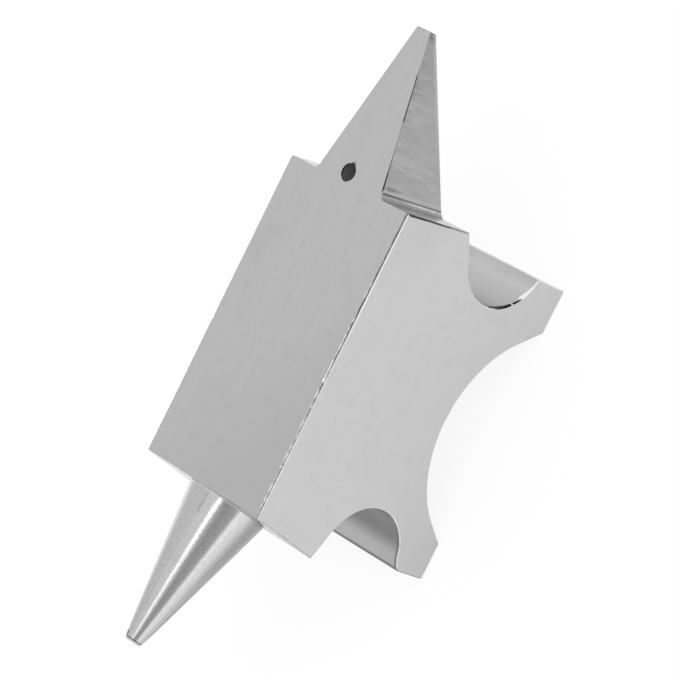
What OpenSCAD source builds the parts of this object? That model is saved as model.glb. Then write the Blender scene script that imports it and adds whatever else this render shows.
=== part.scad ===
// Small steel bench anvil with a turned round horn and a milled flat horn.
// The long axis runs along X with the flat horn at +X, the width along Y, and Z is up.
// The origin is on the ground, midway between the outer ends of the feet.
// All lengths are in millimetres and all angles in degrees.

/* [Overall] */

// Height from the ground to the working face
anvil_height = 57.4; // [54:0.2:66]
// Width of the body across the working face
body_width = 37; // [30:0.5:48]
// Length of the working face, without the horns
face_length = 70; // [64:0.5:78]
// How far the middle of the face lies towards the flat horn from the middle of the feet
face_offset = 1; // [0:0.1:2]
// Distance between the outer ends of the two feet
foot_span = 70.4; // [64:0.2:78]

/* [Block ends] */

// Depth of the block at the flat horn's end, measured straight down from the face
flat_end_depth = 20.5; // [18:0.1:22]
// Slope of the end face that carries the flat horn, away from upright
flat_end_batter = 5.2; // [3:0.1:8]
// Depth of the block at the round horn's end, measured straight down from the face
round_end_depth = 21; // [20:0.1:23]
// Slope of the end face that carries the round horn, away from upright
round_end_batter = 12.2; // [9:0.1:14]

/* [Waist and feet] */

// Radius of the hollow under the flat horn's end
flat_notch_radius = 12.6; // [11:0.1:13]
// Distance of that hollow's innermost wall from the middle of the feet
flat_notch_wall = 25.3; // [23:0.1:27]
// Height of that hollow's centre above the ground
flat_notch_height = 21.8; // [20:0.1:23]
// Radius of the hollow under the round horn's end
round_notch_radius = 12.2; // [11:0.1:13]
// Distance of that hollow's innermost wall from the middle of the feet
round_notch_wall = 23.6; // [22:0.1:26]
// Height of that hollow's centre above the ground
round_notch_height = 22.5; // [20:0.1:23]
// Radius of the arch between the feet
arch_radius = 26.7; // [24:0.1:28]
// Height of the top of the arch above the ground
arch_rise = 16.7; // [13:0.1:18]
// How far the arch is shifted towards the round horn
arch_shift = 0.8; // [0:0.1:2]
// Slope of the straight bevel where the arch runs out onto the feet
arch_bevel_angle = 54; // [50:0.5:60]
// Length along the foot of the slope ground on the upper edge of the round horn's foot
foot_slope_run = 2.8; // [1:0.1:4]
// Height of that slope
foot_slope_drop = 1.8; // [0.5:0.1:2.5]
// Size of the small flat that breaks the long edges of the face
edge_break = 0.35; // [0.1:0.05:0.8]

/* [Round horn] */

// Diameter of the cone where it meets the end face
round_root_d = 18.7; // [16:0.1:19.2]
// Diameter of the blunt end of the cone
round_tip_d = 3.9; // [2:0.1:6]
// Length of the cone along its own axis
round_length = 35.6; // [28:0.1:42]
// Distance down the end face from the working face to the edge of the cone
round_root_drop = 1.05; // [0.8:0.05:1.2]
// Rounding of the rim at the blunt end
round_tip_rounding = 0.5; // [0.2:0.1:0.8]
// Size of the chamfer on the edge that sits against the end face
round_root_chamfer = 0.25; // [0.1:0.05:0.5]

/* [Flat horn] */

// Length of the horn beyond the working face
flat_length = 35.8; // [30:0.1:42]
// Width of the horn at the end of the working face
flat_root_w = 20.2; // [18:0.1:22]
// Width of the horn at its tip
flat_tip_w = 4.1; // [3:0.1:6]
// Thickness of the horn at its tip
flat_tip_depth = 2; // [1.5:0.1:4]
// Radius of the small flare on each flank where it meets the end face
root_flare_radius = 0.9; // [0.6:0.1:1.4]

/* [Pritchel hole] */

// Diameter of the hole through the root of the flat horn
hole_d = 4.2; // [3:0.1:5]
// Distance of the hole's centre beyond the end of the working face
hole_ahead = 2.1; // [1.9:0.1:3]
// Distance of the hole's centre from the middle of the horn, towards +Y
hole_side = 1.3; // [0:0.1:2.5]

/* [Hidden joints] */

// Diameter of the round spigot on each horn
spigot_d = 11; // [9:0.5:11.5]
// Length of the spigot inside the body
spigot_length = 16; // [14:0.5:18]
// Radial room between a spigot and its socket
spigot_clearance = 0.02; // [0.01:0.01:0.1]
// Empty space left past the end of each spigot
socket_relief = 1; // [0.5:0.1:2]
// Diameter of the cross pins that lock the spigots
pin_d = 4; // [3:0.5:5]
// Length of the cross pins
pin_length = 18; // [17:0.5:19]
// Radial room between a pin and its hole
pin_clearance = 0.01; // [0.01:0.01:0.05]
// Distance of each cross pin from the end of the working face
pin_setback = 5; // [4:0.1:6]
// Distance from the working face down to the top of each pin
pin_top_depth = 5; // [4.2:0.1:5.5]
// Distance of the flat horn's spigot below the working face
flat_spigot_depth = 11.4; // [11:0.1:12]
// Diameter of the two dowels that line the flat horn up with the body
dowel_d = 3; // [2:0.1:3.2]
// Length of each dowel, half of it in the horn and half in the body
dowel_length = 10; // [7:0.5:10]
// Radial room between a dowel and its hole
dowel_clearance = 0.01; // [0.01:0.01:0.05]
// Distance of the dowels below the working face
dowel_depth = 5; // [4:0.1:5.2]
// How far each dowel lies outwards of the middle of the metal between hole and flank
dowel_outset = 0.2; // [0:0.05:0.4]
// Empty space left past each end of a dowel
dowel_relief = 0.3; // [0.2:0.1:0.5]
// Chamfer on the ends of the spigots, pins and dowels
end_chamfer = 0.5; // [0.3:0.1:0.8]

/* [View] */

// Which piece to show, or all of them

/* [Hidden] */

$fn = 96;

// Cutters reach this far past a surface they pass through.
over = 10;
// Each spigot reaches this far into its horn, so that the two are one solid.
spigot_lap = 2;

face_flat_end = face_offset + face_length / 2;
face_round_end = face_offset - face_length / 2;
foot_end = foot_span / 2;

flat_corner_x = face_flat_end + flat_end_depth * tan(flat_end_batter);
flat_corner_z = anvil_height - flat_end_depth;
round_corner_x = face_round_end - round_end_depth * tan(round_end_batter);
round_corner_z = anvil_height - round_end_depth;

// The roof of each hollow is the straight line from the block's lower corner that
// touches the hollow's circle. The hollows are worked out with +X outwards.
flat_notch_x = flat_notch_wall + flat_notch_radius;
round_notch_x = round_notch_wall + round_notch_radius;

function touch_point(corner, centre, radius) =
    let (across = centre[0] - corner[0],
         up = centre[1] - corner[1],
         reach = norm([across, up]),
         run = sqrt(reach * reach - radius * radius),
         heading = atan2(up, across) - asin(radius / reach))
    [corner[0] + run * cos(heading), corner[1] + run * sin(heading)];

// The arch is a circle whose centre lies below the ground, run out tangentially.
arch_centre_z = arch_rise - arch_radius;
bevel_start_x = arch_radius * sin(arch_bevel_angle);
bevel_start_z = arch_centre_z + arch_radius * cos(arch_bevel_angle);
bevel_end_x = bevel_start_x + (bevel_start_z + over) / tan(arch_bevel_angle);

// The round horn stands square on its end face, so its axis tilts by the batter.
round_root_along = round_root_drop + round_root_d / 2;
round_root_x = face_round_end - round_root_along * sin(round_end_batter);
round_root_z = anvil_height - round_root_along * cos(round_end_batter);

// The flat horn's spigot and dowels lie level, crossing the sloping end face.
flat_spigot_z = anvil_height - flat_spigot_depth;
flat_spigot_x = face_flat_end + flat_spigot_depth * tan(flat_end_batter);
flat_tip_x = face_flat_end + flat_length;
flank_angle = atan((flat_root_w - flat_tip_w) / 2 / flat_length);
dowel_z = anvil_height - dowel_depth;
dowel_x = face_flat_end + dowel_depth * tan(flat_end_batter);
dowel_hole_length = dowel_length + 2 * dowel_relief;
dowel_hole_end = dowel_x + dowel_hole_length / 2;

hole_x = face_flat_end + hole_ahead;

// Each dowel keeps clear of both the pritchel hole and the tapering flank.
hole_wall_y = hole_side + hole_d / 2;
flank_at_dowel = flat_root_w / 2 - (dowel_hole_end - face_flat_end) * tan(flank_angle);
dowel_side = (hole_wall_y + flank_at_dowel) / 2 + dowel_outset;

flat_pin_x = face_flat_end - pin_setback;
round_pin_x = face_round_end + pin_setback;
pin_top_z = anvil_height - pin_top_depth;
pin_bottom_z = pin_top_z - pin_length;

// Cut of one hollow, drawn with the horn that it lies under towards +X.
module notch_cut(corner, centre, radius) {
    touch = touch_point(corner, centre, radius);
    translate(centre)
        circle(r = radius);
    polygon([
        corner,
        touch,
        centre,
        [centre[0] + over, centre[1]],
        [corner[0] + over, corner[1]]
    ]);
}

module side_profile() {
    difference() {
        polygon([
            [face_round_end, anvil_height],
            [round_corner_x, round_corner_z],
            [-foot_end, round_notch_height - round_notch_radius],
            [-foot_end, 0],
            [foot_end, 0],
            [foot_end, flat_notch_height],
            [flat_corner_x, flat_corner_z],
            [face_flat_end, anvil_height]
        ]);
        notch_cut(
            [flat_corner_x, flat_corner_z],
            [flat_notch_x, flat_notch_height],
            flat_notch_radius
        );
        mirror([1, 0])
            notch_cut(
                [-round_corner_x, round_corner_z],
                [round_notch_x, round_notch_height],
                round_notch_radius
            );
        foot_slope_cut();
        arch_cut();
    }
}

module arch_cut() {
    translate([-arch_shift, 0]) {
        intersection() {
            translate([0, arch_centre_z])
                circle(r = arch_radius);
            translate([-bevel_start_x, bevel_start_z])
                square([2 * bevel_start_x, arch_radius]);
        }
        polygon([
            [-bevel_start_x, bevel_start_z],
            [bevel_start_x, bevel_start_z],
            [bevel_end_x, -over],
            [-bevel_end_x, -over]
        ]);
    }
}

// Slope ground along the outer upper edge of the foot under the round horn. Its inner end lies on
// the hollow's surface, and the cut runs on a little way into the open hollow.
module foot_slope_cut() {
    from_hollow_centre = round_notch_x - foot_end + foot_slope_run;
    inner = [
        foot_slope_run - foot_end,
        round_notch_height - sqrt(pow(round_notch_radius, 2) - pow(from_hollow_centre, 2))
    ];
    outer = [-foot_end, inner.y - foot_slope_drop];
    past_inner = inner + (inner - outer) / 4;
    polygon([
        past_inner,
        outer,
        [outer.x - over, outer.y],
        [outer.x - over, past_inner.y]
    ]);
}

// Small flat along one long edge of the working face.
module edge_break_cut() {
    side = edge_break * sqrt(2);
    translate([0, body_width / 2, anvil_height])
        rotate([45, 0, 0])
            cube([2 * face_length, side, side], center = true);
}

// Cylinder with a chamfer at its far end, standing on the origin.
module chamfered_rod(diameter, length) {
    cylinder(d = diameter, h = length - end_chamfer);
    translate([0, 0, length - end_chamfer])
        cylinder(d1 = diameter, d2 = diameter - 2 * end_chamfer, h = end_chamfer);
}

// Places its children on the round horn's axis, with +Z along the cone to the tip.
module at_round_horn() {
    translate([round_root_x, 0, round_root_z])
        rotate([0, round_end_batter - 90, 0])
            children();
}

// Places its children on the flat horn's spigot axis, with +Z along the horn.
module at_flat_spigot() {
    translate([flat_spigot_x, 0, flat_spigot_z])
        rotate([0, 90, 0])
            children();
}

// Places its children where each dowel crosses the end face, with +Z along the horn.
module at_dowels() {
    for (side = [-1, 1])
        translate([dowel_x, side * dowel_side, dowel_z])
            rotate([0, 90, 0])
                children();
}

// Spigot pointing down from the origin, with the lap that joins it to its horn.
module spigot() {
    mirror([0, 0, 1])
        translate([0, 0, -spigot_lap])
            chamfered_rod(spigot_d, spigot_length + spigot_lap);
}

// Blind socket for a spigot, opening upwards at the origin.
module socket_cut() {
    translate([0, 0, -spigot_length - socket_relief])
        cylinder(
            d = spigot_d + 2 * spigot_clearance,
            h = spigot_length + socket_relief + over
        );
}

// Holes of the two dowels, in the horn and in the body alike.
module dowel_cut() {
    at_dowels()
        translate([0, 0, -dowel_hole_length / 2])
            cylinder(d = dowel_d + 2 * dowel_clearance, h = dowel_hole_length);
}

module pritchel_cut() {
    translate([hole_x, hole_side, flat_corner_z - over])
        cylinder(d = hole_d, h = flat_end_depth + 2 * over);
}

// Hole of one cross pin, drilled upwards through the roof of the hollow.
module pin_cut(x) {
    translate([x, 0, flat_notch_height])
        cylinder(d = pin_d + 2 * pin_clearance, h = pin_top_z - flat_notch_height);
}

// Straight pin centred on the origin, with a chamfer at both ends.
module straight_pin(diameter, length) {
    chamfered_rod(diameter, length / 2);
    mirror([0, 0, 1])
        chamfered_rod(diameter, length / 2);
}

module cross_pin(x) {
    translate([x, 0, pin_bottom_z + pin_length / 2])
        straight_pin(pin_d, pin_length);
}

module anvil_body() {
    color([0.74, 0.74, 0.75])
        difference() {
            rotate([90, 0, 0])
                linear_extrude(height = body_width, center = true)
                    side_profile();
            edge_break_cut();
            mirror([0, 1, 0])
                edge_break_cut();
            at_round_horn()
                socket_cut();
            at_flat_spigot()
                socket_cut();
            dowel_cut();
            pin_cut(round_pin_x);
            pin_cut(flat_pin_x);
            pritchel_cut();
        }
}

module cone_section() {
    half_tip = round_tip_d / 2;
    half_root = round_root_d / 2;
    taper = (half_root - half_tip) / round_length;
    polygon([
        [0, 0],
        [half_root - round_root_chamfer, 0],
        [half_root - round_root_chamfer * taper, round_root_chamfer],
        [half_tip + round_tip_rounding * taper, round_length - round_tip_rounding],
        [half_tip - round_tip_rounding, round_length - round_tip_rounding],
        [half_tip - round_tip_rounding, round_length],
        [0, round_length]
    ]);
    translate([half_tip - round_tip_rounding, round_length - round_tip_rounding])
        circle(r = round_tip_rounding);
}

module round_horn() {
    color([0.7, 0.7, 0.71])
        difference() {
            at_round_horn() {
                rotate_extrude()
                    cone_section();
                spigot();
            }
            pin_cut(round_pin_x);
        }
}

// Small concave flare on the +Y flank, along the line where it meets the end face.
module root_flare() {
    lean_in = atan(tan(flat_end_batter) * tan(flank_angle));
    slant = flat_end_depth / cos(flat_end_batter) + over;
    translate([face_flat_end, flat_root_w / 2, anvil_height])
        rotate([-lean_in, -flat_end_batter, 0])
            translate([0, 0, -slant])
                linear_extrude(height = slant + over)
                    difference() {
                        polygon([
                            [-over, -over],
                            [-over, root_flare_radius],
                            [0, root_flare_radius],
                            [root_flare_radius, 0],
                            [root_flare_radius, -root_flare_radius],
                            [0, -over]
                        ]);
                        translate([root_flare_radius, root_flare_radius])
                            circle(r = root_flare_radius);
                    }
}

module flat_wedge() {
    intersection() {
        union() {
            linear_extrude(height = anvil_height)
                polygon([
                    [face_flat_end, -flat_root_w / 2],
                    [flat_tip_x, -flat_tip_w / 2],
                    [flat_tip_x, flat_tip_w / 2],
                    [face_flat_end, flat_root_w / 2]
                ]);
            root_flare();
            mirror([0, 1, 0])
                root_flare();
        }
        rotate([90, 0, 0])
            linear_extrude(height = body_width, center = true)
                polygon([
                    [face_flat_end, anvil_height],
                    [flat_corner_x, flat_corner_z],
                    [flat_tip_x, anvil_height - flat_tip_depth],
                    [flat_tip_x, anvil_height]
                ]);
    }
}

module flat_horn() {
    color([0.68, 0.68, 0.69])
        difference() {
            union() {
                flat_wedge();
                at_flat_spigot()
                    spigot();
            }
            pritchel_cut();
            pin_cut(flat_pin_x);
            dowel_cut();
        }
}

module round_horn_pin() {
    color([0.55, 0.55, 0.57])
        cross_pin(round_pin_x);
}

module flat_horn_pin() {
    color([0.55, 0.55, 0.57])
        cross_pin(flat_pin_x);
}

module flat_horn_dowels() {
    color([0.5, 0.5, 0.52])
        at_dowels()
            straight_pin(dowel_d, dowel_length);
}

anvil_body();
round_horn();
flat_horn();
round_horn_pin();
flat_horn_pin();
flat_horn_dowels();
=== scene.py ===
"""A small steel bench anvil with a turned round horn and a milled flat horn."""

from math import atan2, degrees, radians, tan

import bmesh
import bpy
from mathutils import Matrix, Vector, noise


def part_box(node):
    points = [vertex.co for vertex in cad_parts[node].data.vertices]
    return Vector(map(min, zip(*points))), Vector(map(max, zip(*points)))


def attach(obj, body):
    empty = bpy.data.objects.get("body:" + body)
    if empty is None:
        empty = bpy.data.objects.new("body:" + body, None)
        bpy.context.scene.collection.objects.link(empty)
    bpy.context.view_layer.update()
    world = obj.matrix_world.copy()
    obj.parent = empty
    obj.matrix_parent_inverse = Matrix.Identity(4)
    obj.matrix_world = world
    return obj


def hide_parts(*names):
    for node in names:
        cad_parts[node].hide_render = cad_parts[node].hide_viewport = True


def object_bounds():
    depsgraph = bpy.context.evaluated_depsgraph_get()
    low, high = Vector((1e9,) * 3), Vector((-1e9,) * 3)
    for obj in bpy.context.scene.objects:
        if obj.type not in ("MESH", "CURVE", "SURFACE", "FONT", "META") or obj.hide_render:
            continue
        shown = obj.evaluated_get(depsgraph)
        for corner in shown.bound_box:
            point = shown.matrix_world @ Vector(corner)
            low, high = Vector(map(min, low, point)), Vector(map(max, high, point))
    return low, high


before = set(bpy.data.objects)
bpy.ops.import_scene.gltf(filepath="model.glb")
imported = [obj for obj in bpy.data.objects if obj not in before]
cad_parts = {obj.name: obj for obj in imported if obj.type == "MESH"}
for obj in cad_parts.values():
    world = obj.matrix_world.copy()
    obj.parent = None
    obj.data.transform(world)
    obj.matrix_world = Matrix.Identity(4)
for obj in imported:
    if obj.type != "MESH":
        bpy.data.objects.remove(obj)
CAD_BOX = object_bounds()

MM = 0.001

# The body, in millimetres from the CAD model's origin. The batters are how far the end faces lean out.
FACE_TOP = CAD_BOX[1][2] / MM
FACE_FLAT_END = 36.0
FACE_ROUND_END = -34.0
HALF_WIDTH = CAD_BOX[1][1] / MM
BLOCK_BOTTOM = 36.4
FLAT_END_BATTER = radians(5.2)
ROUND_END_BATTER = radians(12.2)
HOLLOW_MIDDLE = (37.9, 21.8)
HOLLOW_RADIUS = 12.6

# The flat horn: its flank's lowest line, the cutter's path, the flare and the joint at its root, its tip.
FLANK_FOOT = (37.87, 36.9)
FLANK_FOOT_RISE = 0.545
CUTTER_LEAN = 0.09
CUTTER_BOW = 0.006
FLARE_REACH = 0.95
JOINT_REACH = 1.6
JOINT_MARGIN = 1.2
TIP_X = 71.8
TIP_BOTTOM = 55.6

# The pritchel hole. The nick is a piece broken out of its rim, and its turns are in degrees.
HOLE_CENTRE = (38.1, 1.3)
HOLE_RADIUS = 2.1
HOLE_BURR = 0.24
NICK_TURN = -10
NICK_HALF_TURN = 20
NICK_REACH = 0.62
NICK_DEPTH = 0.4

# The round horn, measured along its own axis. Its CAD tip is rounded.
CONE_ROOT = (-36.2, 0.0, 47.24)
CONE_LENGTH = 35.6
CONE_MIDDLE_RADIUS = 6.0
CONE_TIP_X = -69.0
TIP_RADIUS = 1.945
TIP_ROUNDING = 0.5

# Single marks: a ding on the long edge and a pit on the upright edge at the flat end.
DING_X = -2.3
PIT_Z = 43.5

# The cross pins, how far their holes can run past them, and how near to a hidden piece is hidden too.
CROSS_PINS = ("round_horn_pin", "flat_horn_pin")
PIN_HOLE_SPARE = 3.0
HIDDEN_WITHIN = 0.15

# Clean-up of the CAD meshes, and how far from true a corner of a round wall may lie.
WELD = 0.002
STEP_WELD = 0.02
WALL_WITHIN = 0.02
FLAT_WITHIN = radians(0.3)
SHARP = radians(30)

# Edge work, in millimetres: how far apart the hand tool's strokes lie, and the widest break.
STROKE = 0.9
TIP_STROKE = 0.45
LIGHTEST_STROKE = 0.5
WIDEST_BREAK = 1.0
BREAK_STEPS = 4
BREAK_LAYER = "bevel_weight_edge"

# The order of the materials on the body and on the flat horn.
GROUND_SLOT = 0
CUT_SLOT = 1
BORE_SLOT = 2
EDGE_SLOT = 3

# The camera stands in front of the near side, looks down on it and is rolled over.
CAMERA_PLACE = Vector((44.94, -455.96, 545.97)) * MM
CAMERA_RIGHT = Vector((0.4412, -0.6503, -0.6184))
CAMERA_UP = Vector((0.8955, 0.3639, 0.2563))
CAMERA_BACK = Vector((0.0584, -0.6669, 0.7429))
SENSOR = 36
FOCAL_PIXELS = 3200
IMAGE_PIXELS = 680

# The room that the steel mirrors: degrees from straight up towards the front, and brightness.
# The scale keeps the ramp's own values below one. The floor's reach is in metres.
ROOM_BANDS = (
    (-90, 0.84), (-60, 0.80), (-28, 0.80), (-12, 0.92), (0, 0.96), (15, 1.0), (16, 2.1), (22.5, 2.1),
    (24, 0.95), (29, 0.56), (38, 0.45), (54, 0.46), (68, 0.49), (77, 0.68), (84, 1.05), (90, 1.3),
)
ROOM_SCALE = 2.0
FLOOR_REACH = 3.0
LAMP_FROM = Vector((0.15, -0.45, 0.95))


def grey(tone):
    """Linear colour of a grey written as a screen tone from 0 to 255."""
    value = tone / 255
    linear = value / 12.92 if value <= 0.04045 else ((value + 0.055) / 1.055) ** 2.4
    return (linear, linear, linear, 1)


# Meshes


def piece_from_cad(node):
    """A welded copy of a CAD piece, in millimetres, in which every flat face is one face again."""
    bm = bmesh.new()
    bm.from_mesh(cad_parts[node].data)
    bm.edges.layers.float.new(BREAK_LAYER)
    bmesh.ops.scale(bm, vec=(1 / MM, 1 / MM, 1 / MM), verts=bm.verts)
    bmesh.ops.remove_doubles(bm, verts=bm.verts, dist=WELD)
    bmesh.ops.dissolve_limit(bm, angle_limit=FLAT_WITHIN, verts=bm.verts, edges=bm.edges)
    return bm


def box_mm(node):
    low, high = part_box(node)
    return Vector(low) / MM, Vector(high) / MM


def sharp_edges(bm):
    return [e for e in bm.edges if len(e.link_faces) == 2 and e.calc_face_angle() > SHARP]


def middle(edge):
    return (edge.verts[0].co + edge.verts[1].co) / 2


def within(point, box, room):
    low, high = box
    return all(low[i] - room <= point[i] <= high[i] + room for i in range(3))


def past_end_face(x, z):
    """How far a place lies outside the sloping end face under the flat horn."""
    return (x - FACE_FLAT_END) - (FACE_TOP - z) * tan(FLAT_END_BATTER)


def from_hole(point):
    """How far a place lies from the middle of the pritchel hole."""
    return (Vector(point[:2]) - Vector(HOLE_CENTRE)).length


def cut_to_strokes(bm, edges, stroke=STROKE):
    """Divides long edges into short strokes, so that a break can vary along them."""
    pieces = []
    for edge in edges:
        cuts = int(edge.calc_length() / stroke)
        if cuts == 0:
            pieces.append(edge)
            continue
        made = bmesh.ops.subdivide_edges(bm, edges=[edge], cuts=cuts)
        pieces += [e for e in made["geom_inner"] if isinstance(e, bmesh.types.BMEdge)]
        pieces += [e for e in made["geom_split"] if isinstance(e, bmesh.types.BMEdge)]
    return [e for e in dict.fromkeys(pieces) if e.is_valid]


def share_of(value, low, high):
    """How far a value lies between two others, as a share from 0 to 1."""
    return min(max((value - low) / (high - low), 0), 1)


def stroke_share(point):
    """How hard the stone bore on the edge at a point, as a share of the full width."""
    long_wave = noise.noise(point * 0.09)
    short_wave = noise.noise(point * 0.9 + Vector((7, 3, 1)))
    pressure = share_of(0.5 + 0.55 * long_wave + 0.45 * short_wave, 0, 1)
    return LIGHTEST_STROKE + (1 - LIGHTEST_STROKE) * pressure


def finish_piece(name, bm, node, materials, broken=(), width_at=None):
    """Makes the object, breaks its chosen edges by hand and lets it stand for its CAD piece."""
    weights = bm.edges.layers.float[BREAK_LAYER]
    for edge in broken:
        spot = middle(edge)
        edge[weights] = width_at(spot) * stroke_share(spot) / WIDEST_BREAK
    chosen = set(broken)
    for edge in sharp_edges(bm):
        edge.smooth = edge in chosen
    for face in bm.faces:
        face.smooth = True
    bmesh.ops.scale(bm, vec=(MM, MM, MM), verts=bm.verts)
    mesh = bpy.data.meshes.new(name)
    bm.to_mesh(mesh)
    bm.free()
    piece = bpy.data.objects.new(name, mesh)
    bpy.context.scene.collection.objects.link(piece)
    for material in materials:
        mesh.materials.append(material)
    if broken:
        add_breaks(piece)
    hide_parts(node)
    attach(piece, "root")


def add_breaks(piece):
    """Bevels the edges that carry a weight, and keeps the flat faces beside them flat."""
    bevel = piece.modifiers.new("broken edges", "BEVEL")
    bevel.limit_method = "WEIGHT"
    bevel.width = WIDEST_BREAK * MM
    bevel.segments = BREAK_STEPS
    bevel.material = EDGE_SLOT
    bevel.loop_slide = True
    bevel.use_clamp_overlap = False
    shading = piece.modifiers.new("flat faces stay flat", "WEIGHTED_NORMAL")
    shading.keep_sharp = True
    shading.weight = 100


# Materials


class Shader:
    """Adds nodes to one node tree and joins them, so that a material reads as a recipe."""

    def __init__(self, tree):
        self.tree = tree

    def add(self, kind, output=0, settings=(), **inputs):
        node = self.tree.nodes.new(kind)
        for name, value in dict(settings).items():
            setattr(node, name, value)
        for name, value in inputs.items():
            self.feed(node, name.replace("_", " "), value)
        return node.outputs[output]

    def feed(self, node, name, value):
        """Sets or links a socket, named in words or, as n0, n1 and so on, by its number."""
        socket = node.inputs[int(name[1:])] if name[0] == "n" and name[1:].isdigit() else node.inputs[name]
        if isinstance(value, bpy.types.NodeSocket):
            self.tree.links.new(value, socket)
        else:
            socket.default_value = value

    def maths(self, operation, *values):
        node = self.tree.nodes.new("ShaderNodeMath")
        node.operation = operation
        for index, value in enumerate(values):
            self.feed(node, f"n{index}", value)
        return node.outputs[0]

    def chain(self, operation, values):
        result = values[0]
        for value in values[1:]:
            result = self.maths(operation, result, value)
        return result

    def times(self, *values):
        return self.chain("MULTIPLY", values)

    def plus(self, *values):
        return self.chain("ADD", values)

    def largest(self, *values):
        return self.chain("MAXIMUM", values)

    def minus(self, first, second):
        return self.maths("SUBTRACT", first, second)

    def rest_of(self, share):
        """What a share leaves of one."""
        return self.maths("SUBTRACT", 1.0, share)

    def length(self, *sides):
        """How long a line is that goes this far along each axis."""
        squares = [self.times(side, side) for side in sides]
        return self.maths("SQRT", self.plus(*squares))

    def blend(self, share, first, second):
        node = self.tree.nodes.new("ShaderNodeMix")
        node.data_type = "RGBA"
        self.feed(node, "n0", share)
        self.feed(node, "n6", first)
        self.feed(node, "n7", second)
        return node.outputs[2]

    def range(self, value, low, high, to_low=0.0, to_high=1.0):
        """Goes smoothly from to_low to to_high while the value goes from low to high."""
        node = self.tree.nodes.new("ShaderNodeMapRange")
        node.interpolation_type = "SMOOTHSTEP"
        for index, item in enumerate((value, low, high, to_low, to_high)):
            self.feed(node, f"n{index}", item)
        return node.outputs[0]

    def straight(self, value, low, high, to_low, to_high):
        """The same as range, but in a straight line that runs on past both ends."""
        slope = (to_high - to_low) / (high - low)
        return self.plus(self.times(self.minus(value, low), slope), to_low)

    def use(self, group, **inputs):
        node = self.tree.nodes.new("ShaderNodeGroup")
        node.node_tree = group
        for name, value in inputs.items():
            self.feed(node, name.replace("_", " "), value)
        return node.outputs

    def parts(self, vector):
        node = self.tree.nodes.new("ShaderNodeSeparateXYZ")
        self.feed(node, "Vector", vector)
        return tuple(node.outputs)

    def join(self, x, y, z):
        return self.add("ShaderNodeCombineXYZ", X=x, Y=y, Z=z)

    def place(self):
        """Where the surface lies, as a vector in millimetres."""
        return self.scaled(self.add("ShaderNodeTexCoord", output="Object"), 1 / MM)

    def scaled(self, vector, factor):
        return self.add("ShaderNodeVectorMath", settings={"operation": "SCALE"}, n0=vector, n3=factor)

    def stretched(self, vector, factors):
        return self.add("ShaderNodeVectorMath", settings={"operation": "MULTIPLY"}, n0=vector, n1=factors)

    def turned(self, vector, rotation, location=(0, 0, 0)):
        """The vector as seen from axes that are turned and moved."""
        return self.add(
            "ShaderNodeMapping",
            settings={"vector_type": "TEXTURE"},
            Vector=vector,
            Rotation=rotation,
            Location=location,
        )

    def band(self, distance, centre, half_width, softness):
        """One within half_width of the centre, and none past the softness outside it."""
        group = self.use(BAND, Distance=distance, Centre=centre, Half_width=half_width, Softness=softness)
        return group["Band"]


def new_group(name, inputs, outputs):
    """An empty shader group with named sockets, and the shader that fills it."""
    tree = bpy.data.node_groups.new(name, "ShaderNodeTree")
    for socket, value in inputs.items():
        kind = "NodeSocketVector" if value is None else "NodeSocketFloat"
        item = tree.interface.new_socket(name=socket, in_out="INPUT", socket_type=kind)
        if value is not None:
            item.default_value = value
    for socket in outputs:
        tree.interface.new_socket(name=socket, in_out="OUTPUT", socket_type="NodeSocketFloat")
    entry = tree.nodes.new("NodeGroupInput").outputs
    leave = tree.nodes.new("NodeGroupOutput")
    return tree, Shader(tree), entry, leave


def make_band():
    """A soft stripe where a distance is near its centre."""
    inputs = {"Distance": 0.0, "Centre": 0.0, "Half width": 0.1, "Softness": 0.05}
    tree, s, entry, leave = new_group("Band", inputs, ["Band"])
    away = s.maths("ABSOLUTE", s.minus(entry["Distance"], entry["Centre"]))
    outer = s.plus(entry["Half width"], entry["Softness"])
    s.feed(leave, "Band", s.range(away, entry["Half width"], outer, 1.0, 0.0))
    return tree


def make_tool_lines():
    """Fine lines left by a wheel or a cutter: they run along Y of the vector."""
    inputs = {"Vector": None, "Lines per mm": 3.0, "Length mm": 12.0}
    tree, s, entry, leave = new_group("Tool lines", inputs, ["Height", "Streak"])
    along = s.maths("DIVIDE", 1.0, entry["Length mm"])
    size = s.join(entry["Lines per mm"], along, entry["Lines per mm"])
    stretched = s.stretched(entry["Vector"], size)
    fine = s.add("ShaderNodeTexNoise", Vector=stretched, Scale=1.0, Detail=3.0, Roughness=0.6)
    wide = s.scaled(stretched, 0.22)
    slow = s.add("ShaderNodeTexNoise", Vector=wide, Scale=1.0, Detail=2.0, Roughness=0.5)
    s.feed(leave, "Height", s.plus(s.times(fine, 0.6), s.times(slow, 0.4)))
    s.feed(leave, "Streak", s.range(slow, 0.35, 0.65))
    return tree


def make_handling():
    """Faint smears and wiped patches that handling leaves on bright steel."""
    inputs = {"Vector": None, "Patch mm": 12.0}
    tree, s, entry, leave = new_group("Handling", inputs, ["Smear", "Haze"])
    size = s.maths("DIVIDE", 1.0, entry["Patch mm"])
    broad = s.add("ShaderNodeTexNoise", Vector=entry["Vector"], Scale=size, Detail=2.0)
    haze = s.add("ShaderNodeTexNoise", Vector=entry["Vector"], Scale=s.times(size, 0.4), Detail=1.0)
    s.feed(leave, "Smear", s.range(broad, 0.5, 0.8))
    s.feed(leave, "Haze", s.range(haze, 0.3, 0.7))
    return tree


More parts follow.
